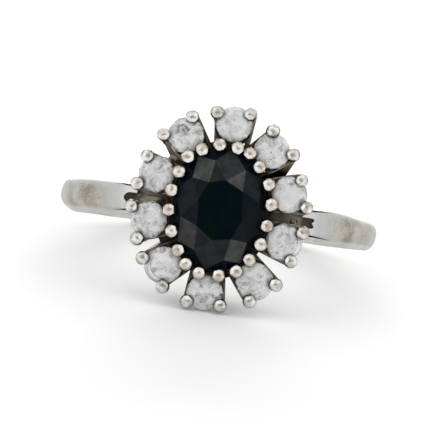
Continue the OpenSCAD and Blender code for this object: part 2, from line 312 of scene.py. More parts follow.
def shank_shell():
    """The section carried round the finger, from the end of the right shoulder round the back to the end
    of the left one: point = (r sin a, y, r cos a). Each point of the section starts and stops at the
    angle where it meets the shoulder's end. One corner on each side of the finger is worn down, by a
    power of the share of the half width: the upper one on the right and the lower one on the left. The
    front is bent along the finger by up to 0.12 mm, from the table of x and offset."""
    rows = 8
    y_end, r_end = shank_section(np.array(shoulder_half), np.array(0.0), rows)
    start = np.arcsin(shoulder_cut(y_end, right_slot_power, right_tongue) / r_end)
    stop = 2 * math.pi - np.arcsin(shoulder_cut(y_end, left_slot_power, left_tongue) / r_end)
    step = np.concatenate([np.linspace(*part)[:-1] for part in rounds] + [[1.0]])[:, None, None]
    angle = start + step * (stop - start)
    x, z = outer_r * np.sin(angle), np.cos(angle)
    far = np.abs(x)
    front = np.interp(far, [shoulder_end, taper_from], [shoulder_half, side_half])
    back = np.interp(far, [back_flat, back_from, back_to, outer_r],
                     [back_half, back_side_half, back_side_half, side_half])
    half = np.where(z > 0, front, back)
    flute_end = np.where(x > 0, flute_end_right, flute_end_left)
    flute = np.clip((flute_end - far) / (flute_end - flute_start), 0, 1) * (z > 0)
    flute = flute * np.clip((far - flute_start) / flute_ramp, 0, 1)
    dome = np.where(z > 0, dome_r, np.interp(far, [back_from, outer_r], [back_dome_r, dome_r]))
    y, r = shank_section(half, flute, rows, dome)
    row, column = np.arange(rows)[:, None], np.arange(half.shape[2])
    y, r = y[:, row, column, row, column], r[:, row, column, row, column]
    corner = np.clip(np.sign(x) * y / half, 0, 1) ** worn_power
    corner = corner * np.clip((far - worn_from) / worn_over, 0, 1)
    r = r - worn_corner * corner * (1 - row / (rows - 1))
    bent = np.interp(x, bent_at, bent_by) * np.clip(1 + z / bent_over, 0, 1)
    return block(np.stack([r * np.sin(angle), y + bent, r * np.cos(angle)], axis=-1))


piece("shank", [shank_shell()], worn_gold_with_painted_light())

# THE STRAPS
# Two thin straps of white gold run on from the shoulders under the head, where the gallery is soldered to
# them. Their dark colour is painted shade, lighter on their sides, where the painted shade stops, and
# towards the finger, which rubs them clean.
strap_t, strap_from, strap_to, strap_lift, strap_round = 1.0, 2.85, 6.5, 0.02, 0.22
strap_taper, strap_half, strap_half_end = 3.5, 0.7, 0.83
solder_from, solder_over, solder_h = 5.1, 0.7, 0.45
sapphire_half = np.array([3.0, 4.0])
# Where a face begins to look that way and where it does wholly, and the same for the oval's share.
away_facing, in_facing, along_facing, outside_oval = (0.35, 0.8), (-0.85, -0.4), (0.5, 0.85), (1.05, 1.2)
# Lighter colour for faces where the painted shade stops and for faces the finger rubs clean.
lit_and_rubbed_gold = (0.36, (0.36, 0.35, 0.325)), (0.62, (0.58, 0.57, 0.54))


def strap_shell(end):
    """A block bent round the finger under the head: x from the gallery to the shoulder, the top edges
    rounded by lowering them with a high power of the share across. Solder fills the shoulder's slot."""
    along = np.linspace(strap_from, strap_to, 24)[:, None, None]
    across = np.sin(np.linspace(-1, 1, 21) * math.pi / 2)[None, :, None]
    up = np.linspace(0, 1, 5)[None, None, :]
    half = np.interp(along, [strap_taper, shoulder_end], [strap_half, strap_half_end])
    filled = solder_h * np.clip((along - solder_from) / solder_over, 0, 1) ** 1.5
    r = finger_r + strap_lift + (strap_t - strap_lift + filled - strap_round * np.abs(across) ** 6) * up
    angle = np.arcsin(along / (finger_r + strap_t / 2)) + 0 * r
    return block(np.stack([end * r * np.sin(angle), half * across + 0 * r, r * np.cos(angle)], axis=-1))


def oval_share(tree, x, y):
    """How far a place lies from the middle of the head, 1 at the sapphire's edge: the length of
    (x / half width, y / half length)."""
    across = maths(tree, "DIVIDE", x, sapphire_half[0])
    up = maths(tree, "DIVIDE", y, sapphire_half[1])
    return maths(tree, "SQRT", maths(tree, "MULTIPLY_ADD", across, across, times(tree, up, up)))


def dark_gold(name, light, shade_colour, deep, shallow, gloss, reach=(1.12, 1.34), painted_light_share=0.85, sides=0.0):
    """White gold darkened by painted shade. Its colour goes from light at the top to a dark painted shade
    where the height over the finger falls below the given heights in mm, in uneven patches, and towards the
    sapphire by the share of the sapphire's oval. Faces that look away from the head's middle, where the
    painted shade stops, and faces that look in to the finger, which rubs them clean, take a lighter colour
    by the normal's parts, up to the given share, and outside the oval those that look along the finger are
    lighter by the value of sides."""
    material, tree, shader, place = blank_material(name)
    blotches = cloud(tree, place, 1600.0, 5.0)
    x, y, height = ring_frame(tree, place)
    # Painted shade: darker below the given heights, in patches, and towards the sapphire.
    bright = band(tree, maths(tree, "MULTIPLY_ADD", blotches, 1.1, height), deep, shallow)
    share = oval_share(tree, x, y)
    bright = times(tree, bright, band(tree, share, *reach))
    patches = cloud(tree, place, 650.0, 5.0)
    clean = ramp(tree, patches, (0.36, tuple(0.55 * c for c in light)), (0.62, light))
    painted_shade = ramp(tree, blotches, (0.35, tuple(0.5 * c for c in shade_colour)), (0.65, shade_colour))
    # Faces that look out of the head are left out of the painted shade, and faces the finger rubs are
    # clean.
    across, along, out = looks(tree)
    away = maths(tree, "MULTIPLY_ADD", x, across, times(tree, y, along))
    distance = maths(tree, "SQRT", maths(tree, "MULTIPLY_ADD", x, x, times(tree, y, y)))
    away = band(tree, maths(tree, "DIVIDE", away, distance), *away_facing, 0.0, painted_light_share)
    open_to_light_and_touch = maths(tree, "MAXIMUM", away, band(tree, out, *in_facing, painted_light_share, 0.0))
    looks_along = band(tree, maths(tree, "ABSOLUTE", along), *along_facing, 0.0, sides)
    outside = times(tree, looks_along, band(tree, share, *outside_oval))
    open_to_light_and_touch = maths(tree, "MAXIMUM", open_to_light_and_touch, outside)
    lit_and_rubbed = ramp(tree, patches, *lit_and_rubbed_gold)
    colour = mixed(tree, open_to_light_and_touch, mixed(tree, bright, painted_shade, clean), lit_and_rubbed)
    rough = band(tree, cloud(tree, place, 3000.0), 0.3, 0.7, gloss, gloss + 0.14)
    as_metal(tree, shader, colour, rough, cloud(tree, place, 7000.0), 0.3, (0.45, 0.42, 0.39))
    return material


# The straps and the gallery ring darkened by painted shade, most under the head.
frame_gold = dark_gold("white gold in the recesses", light=(0.30, 0.265, 0.22), shade_colour=(0.055, 0.042, 0.032),
                       deep=6.5, shallow=7.5, gloss=0.34, reach=(1.5, 2.9), sides=0.7)
piece("straps", [strap_shell(1), strap_shell(-1)], frame_gold)

# THE SOLDER
# Beads of solder that ran out where the straps meet the shoulders, and one more between two collets at the
# upper left. They were left as they set, a little lumpy, and their dark brown colour is painted shade.


def turn(points, axis, degrees):
    """Points turned about main axis 0, 1 or 2, anticlockwise as seen from its far end."""
    c, s = math.cos(math.radians(degrees)), math.sin(math.radians(degrees))
    a, b = (axis + 1) % 3, (axis + 2) % 3
    turned = points.copy()
    turned[..., a] = c * points[..., a] - s * points[..., b]
    turned[..., b] = s * points[..., a] + c * points[..., b]
    return turned


def skin(rings, joined=False):
    """A closed shell through rings of points, each joined to the next by a band of quads. The last ring
    is joined to the first, or else a point in the middle of each end ring closes that end."""
    count, around = rings.shape[:2]
    index = np.arange(count * around).reshape(count, around)
    points = rings.reshape(-1, 3)
    if joined:
        index = np.vstack([index, index[:1]])
    side = np.roll(index, -1, axis=1)
    quads = np.stack([index[:-1], side[:-1], side[1:], index[1:]], axis=-1).reshape(-1, 4)
    if joined:
        return outward(points, quads)
    first, last = np.full(around, len(points)), np.full(around, len(points) + 1)
    caps = np.vstack([np.stack([first, side[0], index[0]], axis=-1),
                      np.stack([last, index[-1], side[-1]], axis=-1)])
    return outward(np.vstack([points, rings[0].mean(0), rings[-1].mean(0)]), quads, caps)


def blob(x, y, r, width, length, height, turned=0):
    """A bead of solder: a flattened ball with small lumps, waves of its two angles, turned about its
    own axis and standing at distance x and radius r from the finger's middle."""
    lat = np.linspace(0.05, 0.95, 18)[:, None] * math.pi
    lon = np.linspace(0, 2 * math.pi, 32, endpoint=False)
    large, small = np.sin(3 * lon + 5 * lat), np.cos(5 * lon - 3 * lat)
    lumps = 1 + 0.07 * large * np.sin(lat) + 0.05 * small * np.sin(lat)
    ball = np.stack([length * np.sin(lat) * np.cos(lon), width * np.sin(lat) * np.sin(lon),
                     height * np.cos(lat) + 0 * lon], axis=-1) * lumps[..., None]
    angle = math.degrees(math.asin(x / r))
    return skin(turn(turn(ball, 2, turned) + np.array([0, y, r]), 1, angle))


# The solder's dark brown colour is painted shade.
strap_solder = dark_gold("strap solder in painted shade", light=(0.24, 0.205, 0.145), shade_colour=(0.14, 0.115, 0.08),
                         deep=6.5, shallow=7.5, gloss=0.3, reach=(1.2, 1.5), painted_light_share=0.2)
right_bead = blob(4.85, -0.1, 9.75, width=0.25, length=0.27, height=0.3)
left_bead = blob(-4.42, 0.05, 9.8, width=0.34, length=0.95, height=0.32)
piece("solder_beads", [right_bead, left_bead], strap_solder)
# The same painted shade on the solder between the collets.
collet_solder = dark_gold("collet solder in painted shade", light=(0.24, 0.205, 0.14),
                          shade_colour=(0.14, 0.115, 0.08), deep=6.5, shallow=7.5, gloss=0.3, reach=(1.0, 1.2),
                          painted_light_share=0.2)
upper_bead = blob(-3.2, 2.88, 13.05, width=0.38, length=0.55, height=0.36, turned=45)
piece("collet_solder", [upper_bead], collet_solder)

# THE GALLERY RING AND THE COLLAR
# A flat oval ring of white gold on the straps carries the collets, its colour darkened by painted shade. A
# slim collar above it takes the sapphire: it is painted almost black, a painted shade under the stone, and
# metal bridges it to the collets in two places.
head_turn = 1.9
gallery_low, gallery_high, gallery_in, gallery_out = 9.0, 10.1, 0.8, 1.07
collar_low, collar_high, collar_in, collar_out, collar_flare = 12.6, 13.2, 0.86, 1.04, -0.14
bridge_deg, bridge_w, bridge_share = (137, -148), 12, 0.22


def hoop(inside, outside, low, high, half, flare=0.0, steps=144, soft=0.28):
    """A soft-cornered section carried round an oval: the section is a squared circle, cos and sin each
    raised to a small power, and the oval's two half widths scale it. The flare changes its share of
    the oval with each mm of height."""
    t = np.linspace(0, 2 * math.pi, 24, endpoint=False)
    a = np.linspace(0, 2 * math.pi, steps, endpoint=False)[:, None]
    squared = lambda wave: np.sign(wave) * np.abs(wave) ** soft
    z = (low + high) / 2 + (high - low) / 2 * squared(np.sin(t))
    share = (inside + outside) / 2 + (outside - inside) / 2 * squared(np.cos(t)) + flare * (z - high)
    rings = np.stack([share * half[0] * np.cos(a), share * half[1] * np.sin(a), z + 0 * a], axis=-1)
    return skin(rings, joined=True)


def collar_shell():
    """A hoop that is wider at its foot, by the flare and at the two bridges by a bell curve over the
    angle round the head, times the depth below its top as a share of its height."""
    points, faces = hoop(collar_in, collar_out, collar_low, collar_high, sapphire_half, collar_flare)
    polar = np.degrees(np.arctan2(points[:, 1], points[:, 0]))
    bridge = sum(np.exp(-(((polar - at) / bridge_w) ** 2)) for at in bridge_deg)
    wider = 1 + bridge_share * bridge * (collar_high - points[:, 2]) / (collar_high - collar_low)
    points = points * np.stack([wider, wider, np.ones_like(wider)], axis=-1)
    return turn(points, 2, head_turn), faces


points, faces = hoop(gallery_in, gallery_out, gallery_low, gallery_high, sapphire_half)
piece("gallery_ring", [(turn(points, 2, head_turn), faces)], frame_gold)
# The collar's near-black colour is painted shade under the sapphire.
collar_gold = dark_gold("white gold under the sapphire", light=(0.05, 0.04, 0.03),
                        shade_colour=(0.035, 0.028, 0.02), deep=10.0, shallow=12.0, gloss=0.4, painted_light_share=0.0)
piece("sapphire_collar", [collar_shell()], collar_gold)

# THE COLLETS
# Ten open collets stand round the sapphire, each bent up from strip: two flat side walls that close
# towards the sapphire, an outer and an inner claw on each wall, and a seat ring between them for the
# diamond. They were set by hand, so each stands and leans a little differently.
# For each collet clockwise from the top: degrees round the oval, mm outside it, degrees that it faces
# and leans, mm out to its outer claws, and mm that its seat stands out.
ANGLE, OUT, FACING, LEAN, REACH, SEAT = range(6)
COLLETS = np.array([
    [86, 0.08, 87, -2, 0.65, 0.00],
    [54, -0.02, 38, -9, 0.82, 0.02],
    [18, 0.03, 7, 0, 0.88, 0.00],
    [-21, 0.02, -14, -1, 0.85, 0.14],
    [-58, -0.11, -48, 0, 0.98, 0.26],
    [-94, -0.08, -92, 0, 0.82, 0.04],
    [-129, -0.05, -146, -5, 0.88, 0.24],
    [-166, 0.00, -171, 0, 0.90, 0.12],
    [156, 0.01, 167, 0, 0.88, 0.00],
    [120, 0.05, 127, 5, 0.75, 0.00]])
ring_half, diamond_z, diamond_tilt, diamond_r = np.array([4.5, 5.48]), 13.15, 10.0, 1.175
outer_claw_y, inner_claw, tip_z = 1.02, np.array([-1.36, 0.585]), 0.3
side_lean, outer_claw_lean = 4.0, 9.0
wall_t, wall_top, wall_foot, wall_in = 0.3, -0.4, -3.9, -0.18
wall_inner_y, wall_outer_y = 0.99, 1.25
wall_over, wall_under, wall_bend, wall_foot_run = 0.15, 0.1, 1.1, 1.05
wall_edge, wall_thinned = 0.07, 0.45
wall_rows = np.array([0, 0.01, 0.035, 0.07, 0.3, 0.6, 0.85, 0.97, 0.99, 1])
wall_columns = np.array([0, 0.006, 0.02, 0.05, 0.3, 0.6, 0.9, 0.96, 0.985, 1])
# How far each wall stands out sideways, in mm at its top, its foot and its inner end.
SPLAY = np.array([
    [[0, 0.05, 0], [0, 0.1, 0]],
    [[0, 0, 0], [0, 0.7, 0]],
    [[0, 0, 0], [0, 0, 0]],
    [[0, 0, 0], [0, 0, 0]],
    [[0, 0, 0], [0, 0.05, 0]],
    [[0.05, 0.2, 0], [0, 0.05, 0]],
    [[0, 0, 0], [-0.02, 0.24, 0.1]],
    [[0, 0, 0], [-0.05, -0.25, -0.2]],
    [[-0.05, -0.3, -0.28], [-0.1, -0.15, 0]],
    [[0.02, 0.28, 0], [0.02, 0.05, 0]]])
seat_top, seat_low, seat_in, seat_foot, seat_back, seat_gap = -0.06, -0.66, 0.62, 0.2, 0.28, 0.02


def in_head(points, i):
    """A collet's frame, x outwards, y to its anticlockwise side and z up from the stone's girdle, moved
    into the ring's frame: leant, tilted outwards, faced, and put in its place on the oval."""
    row = COLLETS[i]
    a = math.radians(row[ANGLE])
    radius = 1 / math.hypot(math.cos(a) / ring_half[0], math.sin(a) / ring_half[1]) + row[OUT]
    place = np.array([radius * math.cos(a), radius * math.sin(a), diamond_z])
    facing = turn(turn(turn(points, 0, row[LEAN]), 1, diamond_tilt), 2, row[FACING])
    return turn(facing + place, 2, head_turn)


def on_side(shell, i, side, y_in, y_out):
    """A shell built with x along a side of collet i, which runs from distance y_in at its inner claw to
    y_out at its outer claw, moved into the ring's frame. The other side is its mirror image."""
    points, faces = shell
    across = math.degrees(math.atan2(y_out - y_in, COLLETS[i, REACH] - inner_claw[0]))
    stood = turn(turn(points, 0, -side_lean), 2, across) + np.array([inner_claw[0], y_in, tip_z])
    return in_head(stood * np.array([1, side, 1]), i), faces if side > 0 else [f[::-1] for f in faces]


def wall_shell(i, splay):
    """A flat wall: at each height it runs from the inner claw to a sloping outer end, given by three
    points. Its edges are rounded by thinning it near them. It stands out sideways by the splay values,
    in mm at its top, at its foot and at its inner end."""
    run = COLLETS[i, REACH] - inner_claw[0]
    high, along = wall_rows[:, None, None], wall_columns[None, :, None]
    through = np.linspace(-1, 1, 5)[None, None, :]
    z = wall_top + (wall_foot - wall_top) * high
    end = np.interp(-z, [-wall_top, wall_bend, -wall_foot],
                    [run + wall_over, run - wall_under, wall_foot_run])
    x = wall_in + (end - wall_in) * along
    edge = np.minimum(np.minimum(z - wall_foot, wall_top - z), np.minimum(x - wall_in, end - x))
    thin = 1 - wall_thinned * np.clip(1 - edge / wall_edge, 0, 1) ** 2
    y = wall_t / 2 * through * thin + splay[0] + (splay[1] - splay[0]) * high + splay[2] * (1 - along)
    return block(np.stack([x + 0 * y, y, z + 0 * y], axis=-1))


def seat_shell(i):
    """A hoop that narrows to its foot, under the diamond's edge. Its outer side is drawn outwards by the
    collet's own amount and towards the sapphire by seat_back, each times a power of the cosine of the
    angle round the stone."""
    points, faces = hoop(seat_in, 1.0, seat_low, seat_top, np.ones(2), steps=64, soft=0.35)
    outer = np.clip((np.hypot(points[:, 0], points[:, 1]) - seat_in) / (1 - seat_in), 0, 1)
    height = (points[:, 2] - seat_low) / (seat_top - seat_low)
    rim = seat_in + outer * (diamond_r - seat_gap - seat_foot * (1 - height) - seat_in)
    a = np.arctan2(points[:, 1], points[:, 0])
    rim = rim + COLLETS[i, SEAT] * outer * np.maximum(np.cos(a), 0) ** 0.7
    rim = rim + seat_back * outer * np.maximum(-np.cos(a), 0) ** 0.6
    return in_head(np.stack([rim * np.cos(a), rim * np.sin(a), points[:, 2]], axis=-1), i), faces


# Painted shade darkens the collets' walls down into the head, and the seats below the diamonds' edges and
# near the sapphire.
wall_gold = dark_gold("white gold of the collets", light=(0.25, 0.225, 0.185), shade_colour=(0.045, 0.036, 0.027),
                      deep=11.9, shallow=13.6, gloss=0.26)
seat_gold = dark_gold("white gold of the seats", light=(0.72, 0.72, 0.70), shade_colour=(0.035, 0.028, 0.02),
                      deep=11.3, shallow=12.2, gloss=0.2, reach=(1.3, 1.5))
for i in range(len(COLLETS)):
    walls = [on_side(wall_shell(i, splay), i, side, wall_inner_y, wall_outer_y)
             for side, splay in zip((1, -1), SPLAY[i])]
    collet = f"collet_{i + 1:02d}"
    piece(collet + "_walls", walls, wall_gold, crease=50)
    piece(collet + "_seat", [seat_shell(i)], seat_gold)

# THE CLAWS
# Each claw is a round wire soldered to its wall, ending in a ball that was pushed over the stone and
# then smoothed with a cup burr. The ones round the sapphire hold it as well, and keep the small flats
# that the setter's file left on the side towards the stone.
ball_r, ball_low, stem_r, foot_r, neck_in, foot_l = 0.455, 0.85, 0.34, 0.15, 0.03, 0.6
CLAW_LENGTHS, BALL_SIZES = (1.4, 3.0), ((0.97, 1.02), (1.0, 1.04))
# Flats of the outer and of the inner claws: headings, tilt, range of offsets and freshness.
FLATS = [
    [([170, -60], 30, (0.955, 0.98), 0.0), ([180], 56, (0.90, 0.94), 0.7),
     ([200, 120, -80], 86, (0.90, 0.95), 0.0)],
    [([180, 125, -125], 44, (0.915, 0.945), 0.8), ([180, 120, -120, 60, -60, 0], 86, (0.85, 0.90), 0.4)]]
# How far the outer and the inner claws of each collet were bent, in mm across and along the finger.
BENT = np.array([
    [[-0.16, -0.09], [-0.08, 0.10], [-0.11, -0.16], [-0.13, -0.20]],
    [[-0.07, -0.04], [0.07, 0.11], [0.03, -0.02], [-0.02, 0.07]],
    [[-0.11, -0.13], [0.13, 0.18], [-0.04, 0.06], [0.10, -0.03]],
    [[0.05, -0.04], [-0.04, 0.04], [-0.08, 0.05], [-0.06, -0.04]],
    [[-0.01, -0.08], [-0.05, 0.06], [-0.01, -0.09], [0.11, -0.12]],
    [[0.07, 0.16], [-0.05, 0.14], [0.14, -0.08], [0.05, -0.09]],
    [[0.19, -0.03], [-0.11, -0.03], [-0.07, -0.04], [0.03, -0.16]],
    [[0.13, -0.12], [-0.12, -0.11], [0.15, -0.20], [0.03, -0.03]],
    [[-0.03, 0.03], [-0.03, -0.13], [-0.06, -0.09], [0.03, -0.03]],
    [[-0.13, -0.15], [-0.08, -0.03], [-0.06, -0.02], [-0.15, -0.17]]])
claw_random = np.random.default_rng(7)


def claw_shell(length, flats, squash, kind):
    """A wire and its ball turned about the claw's axis: ring radii follow the height, and on the ball
    each point is drawn in to the nearest flat, radius = min(ball, offset / (direction . normal)). The
    look of each point is its height on the ball, how fresh its flat is and the kind of claw."""
    lon = np.linspace(0, 2 * math.pi, 44, endpoint=False)
    low = math.pi - math.asin(stem_r / ball_r)
    lat = np.linspace(low, 0.04, 26)[:, None]
    ball = np.stack([np.sin(lat) * np.cos(lon), np.sin(lat) * np.sin(lon), np.cos(lat) + 0 * lon], axis=-1)
    drawn_in = flats[:, 3] / np.maximum(ball @ flats[:, :3].T, 1e-6)
    filed = np.where(drawn_in.min(-1) < 1, flats[drawn_in.argmin(-1), 4], 0)
    look = np.stack([ball[..., 2], filed, kind + 0 * filed], axis=-1).reshape(-1, 3)
    look = np.vstack([np.tile([-1.0, 0, kind], (4 * len(lon), 1)), look, [[-1, 0, kind], [1, 0, kind]]])
    ball = ball * np.minimum(1, drawn_in.min(-1))[..., None] * ball_r * squash
    ball[..., 2] *= ball_low
    neck = ball_low * ball_r * math.cos(low) - neck_in
    height = np.array([-length - foot_l, -length, -length / 2, neck])[:, None]
    radius = np.array([foot_r, stem_r, stem_r, stem_r])[:, None]
    wire = np.stack([radius * np.cos(lon), radius * np.sin(lon), height + 0 * lon], axis=-1)
    return skin(np.concatenate([wire, ball])), look


def claw_flats(headings, tilt, depth, filed):
    """Flats on a ball as rows of a unit normal, an offset and a freshness from 0 worn to 1 new. The
    normals stand round the claw's axis at the given headings and tilt away from it by about tilt
    degrees, each a little off."""
    a = np.radians(np.array(headings) + claw_random.normal(0, 9, len(headings)))
    b = np.radians(tilt + claw_random.normal(0, 4, len(headings)))
    offset = claw_random.uniform(*depth, len(headings))
    normal = [np.sin(b) * np.cos(a), np.sin(b) * np.sin(a), np.cos(b)]
    return np.stack([*normal, offset, filed + 0 * a], axis=-1)


def written(tree, name, output="Fac"):
    """What a piece's own attribute says at each point."""
    return node(tree, "Attribute", attribute_name=name).outputs[output]


def write(made, name, kind, domain, values):
    """An attribute of a piece, a number or a vector for each point or face, for its material to read."""
    attribute = made.data.attributes.new(name, kind, domain)
    attribute.data.foreach_set("vector" if kind == "FLOAT_VECTOR" else "value", values)


def bright_gold():
    """Polished white gold of the claws, with soft wear and fine marks of the file. The attribute on_ball
    holds each point's height on its ball, how fresh its flat is, and 1 on the inner claws, which are
    warmer. The flats are clean and white, and low on the ball and down the wire the colour is darkened by
    painted shade."""
    material, tree, shader, place = blank_material("polished white gold claws")
    blotches = cloud(tree, place, 2600.0, 5.0)
    height, filed, inner = node(tree, "SeparateXYZ", {"Vector": written(tree, "on_ball", "Vector")}).outputs
    cool = (0.3, (0.37, 0.345, 0.30)), (0.48, (0.61, 0.585, 0.53)), (0.66, (0.86, 0.85, 0.81))
    warm = (0.3, (0.44, 0.375, 0.31)), (0.48, (0.66, 0.58, 0.50)), (0.66, (0.86, 0.81, 0.74))
    worn = mixed(tree, inner, ramp(tree, blotches, *cool), ramp(tree, blotches, *warm))
    tint = mixed(tree, filed, worn, (0.88, 0.865, 0.84, 1.0))
    # Painted shade: darker low on the ball and on the wire.
    shade = band(tree, maths(tree, "MULTIPLY_ADD", blotches, 0.5, height), 0.2, 0.85, 0.4, 1.0)
    matt = maths(tree, "MULTIPLY_ADD", inner, 0.1, band(tree, blotches, 0.3, 0.7, 0.28, 0.18))
    rough = maths(tree, "MULTIPLY_ADD", filed, -0.08, matt)
    marks = cloud(tree, place, 6000.0)
    as_metal(tree, shader, scaled(tree, tint, shade), rough, marks, 0.35, (0.12, 0.10, 0.08))
    return material


claw_gold = bright_gold()
for i in range(len(COLLETS)):
    run = math.hypot(outer_claw_y - inner_claw[1], COLLETS[i, REACH] - inner_claw[0])
    shells, ball_looks = [], []
    for number, side in enumerate((1, -1)):
        for inner in (0, 1):
            flats = np.vstack([claw_flats(*group) for group in FLATS[inner]])
            size = claw_random.uniform(*BALL_SIZES[inner])
            (points, faces), look = claw_shell(CLAW_LENGTHS[inner], flats, size, inner)
            if not inner:
                points = turn(points, 1, outer_claw_lean) + np.array([run, 0, 0])
            points, faces = on_side((points, faces), i, side, inner_claw[1], outer_claw_y)
            shells.append((points + np.array([*BENT[i, 2 * inner + number], 0]), faces))
            ball_looks.append(look)
    claws = piece(f"collet_{i + 1:02d}_claws", shells, claw_gold, crease=22)
    write(claws, "on_ball", "FLOAT_VECTOR", "POINT", np.vstack(ball_looks).ravel())

# THE SAPPHIRE
# An oval brilliant-cut sapphire, so dark that it shows its blue-green only in the middle. Its facets
# were cut by eye, and its table is turned a little to one side.
sapphire_z = 13.4
corner_deg = np.array([123.8, 81, 35, -15, -55.5, -100.5, -145, -195])
corner_share = np.array([0.50, 0.48, 0.56, 0.53, 0.555, 0.51, 0.53, 0.485])
# Painted grey reflection for each star and kite facet of the sapphire.
star_reflection = [0.06, 0.14, 0.14, 0.06, 0.03, 0.6, 0.15, 0.05]
kite_reflection = [0.10, 0.38, 0.17, 0.54, 0.03, 0.12, 0.27, 0.56]


def brilliant(corner_angle, corner_r, table_z, star_z, girdle_z, point_z, lower_z):
    """A brilliant cut of unit radius with flat facets. A table corner and the girdle point outside it
    fix the plane of a kite, z = table_z * (1 - r) / (1 - corner_r) along the line between them. Two
    neighbouring kites meet at height star_z, which is solved for, and so do two pavilion facets at
    lower_z. Triangles fill the rest. Heights count from the two edges of the girdle, at +-girdle_z."""
    n = len(corner_angle)
    ray = np.stack([np.cos(corner_angle), np.sin(corner_angle)], axis=-1)
    next_ray = np.roll(ray, -1, axis=0)
    between = ray + next_ray
    between /= np.linalg.norm(between, axis=1)[:, None]

    def meeting(reach):
        """Where the lines ray . p = reach of two neighbours cross."""
        pairs = np.stack([ray, next_ray], axis=1)
        return np.linalg.solve(pairs, np.stack([reach, np.roll(reach, -1)], axis=-1)[..., None])[..., 0]

    star = meeting(1 - (1 - corner_r) * star_z / table_z)
    lower = meeting(np.full(n, 1 - lower_z / point_z))
    level = lambda flat, z: np.hstack([flat, np.full((len(flat), 1), z)])
    rim = np.stack([ray, between], axis=1).reshape(-1, 2)
    points = np.vstack([level(ray * corner_r[:, None], girdle_z + table_z), level(star, girdle_z + star_z),
                        level(rim, girdle_z), level(rim, -girdle_z), level(lower, -girdle_z - lower_z),
                        [[0, 0, -girdle_z - point_z]]])
    # The numbers of the points in each ring, or its first. j and after are the next ones round.
    i, j = np.arange(n), (np.arange(n) + 1) % n
    table, stars, top, base, low, tip = i, n + i, 2 * n, 4 * n, 6 * n + i, np.full(n, 7 * n)
    at, after = np.arange(2 * n), (np.arange(2 * n) + 1) % (2 * n)
    faces = [table.tolist()]
    for corners in ([table, table[j], stars],
                    [table, stars[i - 1], top + 2 * i, stars],
                    [stars, top + 2 * i, top + 2 * i + 1],
                    [stars, top + 2 * i + 1, top + 2 * j],
                    [top + at, top + after, base + after, base + at],
                    [base + 2 * i, base + 2 * i + 1, low],
                    [base + 2 * i + 1, base + 2 * j, low],
                    [base + 2 * i, low[i - 1], tip, low]):
        faces += np.stack(corners, -1).tolist()
    middle = points.mean(0)
    turned = []
    for face in faces:
        a, b, c = points[face[0]], points[face[1]], points[face[2]]
        turned.append(face if np.dot(np.cross(b - a, c - a), a - middle) > 0 else face[::-1])
    return points, turned


def sapphire_look():
    """Very dark sapphire: blue-black in the middle and green-black in faint colour zones. Some facets carry
    a painted reflection, a little grey added to their colour by a per-facet attribute, in soft cloudy
    patches, for the light they return from inside."""
    material, tree, shader, place = blank_material("dark sapphire")
    tints = (0.35, (0.0015, 0.005, 0.0055)), (0.5, (0.001, 0.004, 0.008)), (0.65, (0.001, 0.006, 0.005))
    body = ramp(tree, cloud(tree, place, 700.0, 3.0), *tints)
    # Painted reflection: grey added to the facets that the attribute names.
    facet_reflection = written(tree, "facet_reflection")
    uneven = times(tree, facet_reflection, band(tree, cloud(tree, place, 1800.0), 0.3, 0.7, 0.7, 1.3))
    grey = mixed(tree, uneven, (0.0, 0.0, 0.0, 1.0), (0.115, 0.110, 0.107, 1.0))
    colour = node(tree, "Mix", {0: 1.0, 6: body, 7: grey}, data_type="RGBA", blend_type="ADD").outputs[2]
    rough = band(tree, cloud(tree, place, 5000.0), 0.3, 0.7, 0.03, 0.08)
    plug(tree, shader, {"Base Color": colour, "Roughness": rough, "IOR": 1.77, "Specular IOR Level": 0.02})
    return material


points, faces = brilliant(np.radians(corner_deg[::-1]), corner_share[::-1], table_z=1.08, star_z=0.55,
                          girdle_z=0.075, point_z=2.52, lower_z=1.9)
points = points * np.array([*sapphire_half, 1]) + np.array([0, 0, sapphire_z])
cut_stone = [(turn(points, 2, head_turn), faces)]
sapphire = piece("sapphire_stone", cut_stone, sapphire_look(), 0, "sapphire")
facet_reflection = np.zeros(len(faces))
facet_reflection[1:17] = star_reflection + kite_reflection  # The table is face 0, and the stars and the kites come next.
write(sapphire, "facet_reflection", "FLOAT", "FACE", facet_reflection)

# THE DIAMONDS
# Ten round brilliant-cut diamonds, whitish and a little cloudy inside, with small dark flecks between their
# facets. Their soft grey and white mosaic, lighter middle, darker edge and the seat seen in their outer
# facets are painted reflection and painted shade.
haze_and_facet_grey = (0.40, (0.22, 0.22, 0.22)), (0.56, (0.62, 0.62, 0.61))
haze_and_facet_white = (0.68, (0.87, 0.87, 0.865)), (0.82, (1.0, 1.0, 1.0))
speck_grey, flaw_grey = (0.14, 0.14, 0.14, 1.0), (0.10, 0.095, 0.09, 1.0)
seat_line, curl_line, curl_side = 0.75, 0.53, (0.5, -0.86, 0.0)
# For each stone the place and the depth of its flaw, how much painted reflection of its seat shows, and its
# flecks.
FEATHERS = np.array([
    [-0.30, 0.40, 0.12], [0.20, 0.40, 0.2], [-0.40, 0.10, 0.1], [0.18, 0.30, 0.35], [-0.12, -0.16, 0.35],
    [0.30, 0.10, 0.2], [-0.20, 0.30, 0.12], [0.20, -0.40, 0.2], [0.10, 0.40, 0.1], [0.26, 0.04, 0.9]])
SEAT_REFLECTIONS = [0.2, 0.2, 0.2, 1.0, 0.7, 0.2, 0.9, 0.35, 0.1, 0.2]
FLECKS = [0.4, 0.9, 0.1, 0.5, 0.5, 0.6, 0.15, 0.4, 0.2, 0.9]


